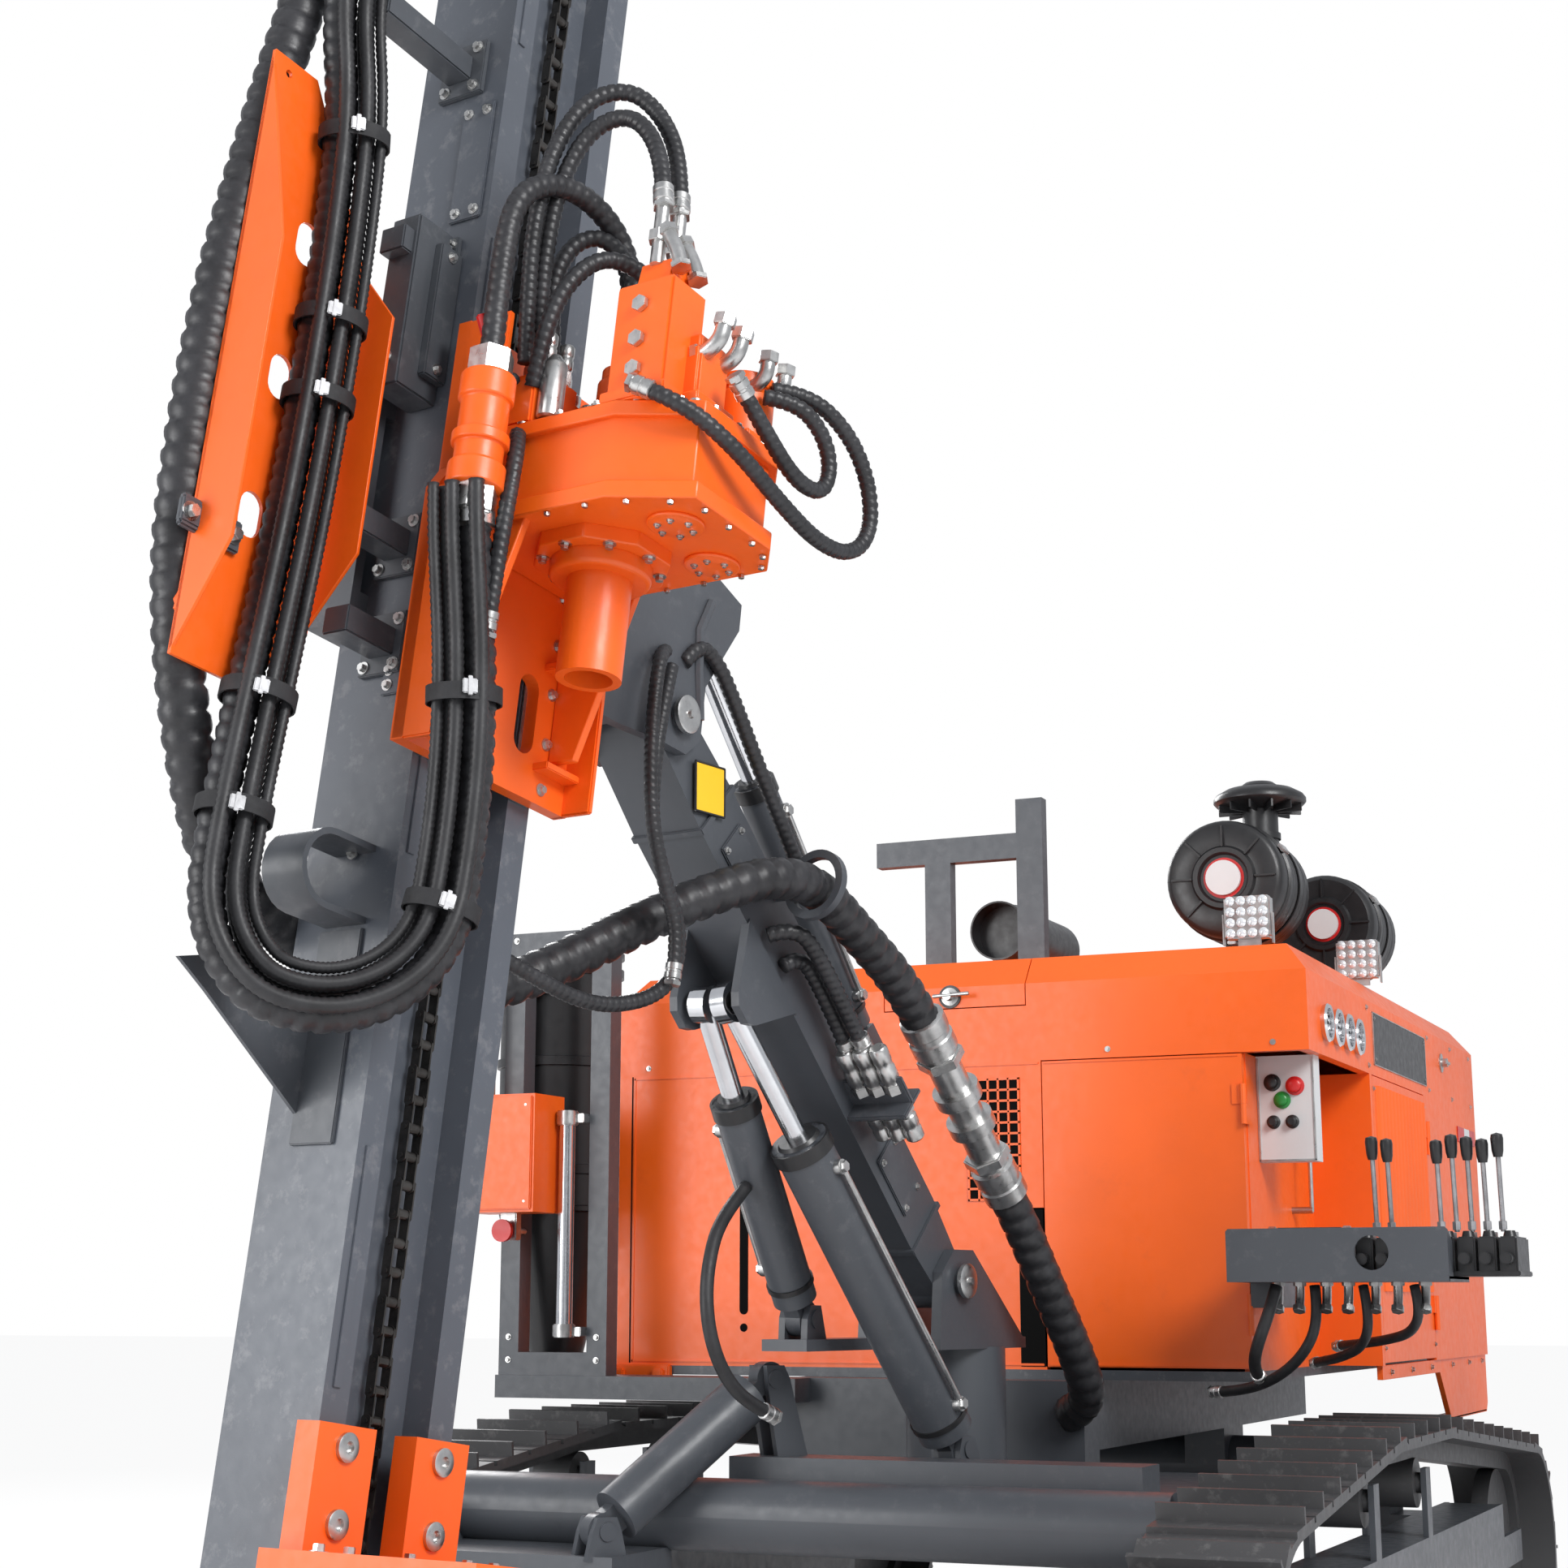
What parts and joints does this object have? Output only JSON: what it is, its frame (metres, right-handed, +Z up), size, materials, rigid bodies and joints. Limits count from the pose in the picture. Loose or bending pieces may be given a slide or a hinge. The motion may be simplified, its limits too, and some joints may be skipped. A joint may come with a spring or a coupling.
{
  "type": "crawler drilling rig",
  "caption": "Crawler-mounted rock drilling rig: boom-carried feed mast with a rotary head, canopy, control console and dust collector.",
  "frame": {"origin": "on the ground, below the middle of the machine's overall box", "axes": "+X forward to the mast, +Y to the operator's side, +Z up"},
  "size_m": [5.3928, 2.8499, 6.0596],
  "materials": {
    "black_plastic": "matte",
    "chrome": "polished",
    "grey_paint": "satin",
    "orange_paint": "satin",
    "panel_white": "satin",
    "track_steel": "worn"
  },
  "bodies": {
    "chassis": {"track_left": "track_steel", "wheels_left": "track_steel", "track_frame_left": "grey_paint", "track_right": "track_steel", "wheels_right": "track_steel", "track_frame_right": "grey_paint", "cross_tube_front": "grey_paint", "cross_tube_rear": "grey_paint", "chassis_frame": "grey_paint", "deck": "grey_paint", "canopy_hood": "orange_paint", "engine": "grey_paint", "canopy_rear_wall": "orange_paint", "canopy_wall_left": "orange_paint", "canopy_wall_right": "orange_paint", "canopy_recess": "orange_paint", "canopy_side_front": "orange_paint", "canopy_front_panel": "orange_paint", "air_filters": "grey_paint", "rain_cap": "black_plastic", "muffler": "grey_paint", "roof_rail": "grey_paint", "work_lamps": "black_plastic", "control_stand": "grey_paint", "valve_bank": "black_plastic", "control_levers": "chrome", "control_panel": "panel_white", "dust_hopper": "grey_paint", "dust_frame": "grey_paint", "dust_box": "orange_paint", "frame_ram": "grey_paint"},
    "slew_seat": {"slew_seat": "grey_paint"},
    "boom": {"boom": "grey_paint"},
    "lift_barrel_far": {"lift_ram_far_barrel": "grey_paint"},
    "lift_rod_far": {"lift_ram_far_rod": "chrome"},
    "lift_barrel_near": {"lift_ram_near_barrel": "grey_paint"},
    "lift_rod_near": {"lift_ram_near_rod": "chrome"},
    "tilt_barrel": {"tilt_ram_barrel": "grey_paint"},
    "tilt_rod": {"tilt_ram_rod": "chrome"},
    "mast_seat": {"mast_seat": "grey_paint"},
    "mast": {"mast_beam": "grey_paint", "rod_table": "orange_paint", "base_blocks": "orange_paint", "mast_foot": "grey_paint", "hose_trough": "orange_paint", "trough_brackets": "grey_paint"},
    "head": {"head_sled": "orange_paint", "head_gearbox": "orange_paint", "head_motors": "grey_paint", "head_valve_block": "orange_paint"},
    "spindle": {"spindle": "chrome"},
    "front_door": {"front_door": "orange_paint"},
    "hood_hatch": {"hood_hatch": "orange_paint"},
    "side_door_left": {"side_door_left": "orange_paint"},
    "side_door_right": {"side_door_right": "orange_paint"}
  },
  "joints": [
    {"name": "slew", "type": "hinge", "parent": "chassis", "child": "slew_seat", "pos_m": [0.18363, 0.125, 0], "axis": [0, 0, 1], "range_deg": [-20, 38]},
    {"name": "boom_lift", "type": "hinge", "parent": "slew_seat", "child": "boom", "pos_m": [0.34659, 0.09919, 1.1], "axis": [-0.1564, -0.9877, 0], "range_deg": [-10, 16]},
    {"name": "mast_tilt", "type": "hinge", "parent": "boom", "child": "mast_seat", "pos_m": [1.46762, -0.07837, 2.235], "axis": [-0.1564, -0.9877, 0], "range_deg": [-8, 45]},
    {"name": "mast_slide", "type": "slide", "parent": "mast_seat", "child": "mast", "axis": [-0.1477, 0.0234, 0.9888], "range_m": [0, 0.7]},
    {"name": "head_feed", "type": "slide", "parent": "mast", "child": "head", "axis": [-0.1477, 0.0234, 0.9888], "range_m": [-1.05, 2.9]},
    {"name": "spindle_turn", "type": "hinge", "parent": "head", "child": "spindle", "pos_m": [2.14193, 0.17932, 2.14415], "axis": [-0.1477, 0.0234, 0.9888], "continuous": true},
    {"name": "front_door_swing", "type": "hinge", "parent": "chassis", "child": "front_door", "pos_m": [-0.23237, 0.746, 1.2], "axis": [0, 0, 1], "range_deg": [0, 80]},
    {"name": "hatch_lift", "type": "hinge", "parent": "chassis", "child": "hood_hatch", "pos_m": [-0.45637, -0.025, 1.945], "axis": [0, -1, 0], "range_deg": [0, 75]},
    {"name": "side_door_left_swing", "type": "hinge", "parent": "chassis", "child": "side_door_left", "pos_m": [-1.76637, 0.923, 1.2], "axis": [0, 0, 1], "range_deg": [0, 100]},
    {"name": "side_door_right_swing", "type": "hinge", "parent": "chassis", "child": "side_door_right", "pos_m": [-1.76637, -1.033, 1.2], "axis": [0, 0, -1], "range_deg": [0, 100]},
    {"name": "lift_ram_far_swing", "type": "hinge", "parent": "slew_seat", "child": "lift_barrel_far", "pos_m": [0.69422, -0.05205, 1.016], "axis": [-0.091, -0.9948, 0.0452], "range_deg": [-11.33, 18.12]},
    {"name": "lift_ram_far_stroke", "type": "slide", "parent": "lift_barrel_far", "child": "lift_rod_far", "axis": [0.5839, -0.0165, 0.8117], "range_m": [-0.05995, 0.09561]},
    {"name": "lift_ram_near_swing", "type": "hinge", "parent": "slew_seat", "child": "lift_barrel_near", "pos_m": [0.45245, 0.22417, 0.722], "axis": [-0.2325, -0.9711, -0.0534], "range_deg": [-7.9, 12.62]},
    {"name": "lift_ram_near_stroke", "type": "slide", "parent": "lift_barrel_near", "child": "lift_rod_near", "axis": [0.5953, -0.1856, 0.7818], "range_m": [-0.05082, 0.08101]},
    {"name": "tilt_ram_swing", "type": "hinge", "parent": "boom", "child": "tilt_barrel", "pos_m": [0.60833, 0.05773, 1.64], "axis": [-0.1564, -0.9877, 0], "range_deg": [-0.047, 0.173]},
    {"name": "tilt_ram_stroke", "type": "slide", "parent": "tilt_barrel", "child": "tilt_rod", "axis": [0.6235, -0.0988, 0.7756], "range_m": [-0.24052, 0.04317]}
  ],
  "couplings": [
    {"joint": "lift_ram_far_swing", "follows": "boom_lift", "ratio": 1.1311},
    {"joint": "lift_ram_far_stroke", "follows": "boom_lift", "m_per_rad": 0.3406},
    {"joint": "lift_ram_near_swing", "follows": "boom_lift", "ratio": 0.7876},
    {"joint": "lift_ram_near_stroke", "follows": "boom_lift", "m_per_rad": 0.2883},
    {"joint": "tilt_ram_swing", "follows": "mast_tilt", "ratio": 0.0034},
    {"joint": "tilt_ram_stroke", "follows": "mast_tilt", "m_per_rad": -0.3056}
  ]
}
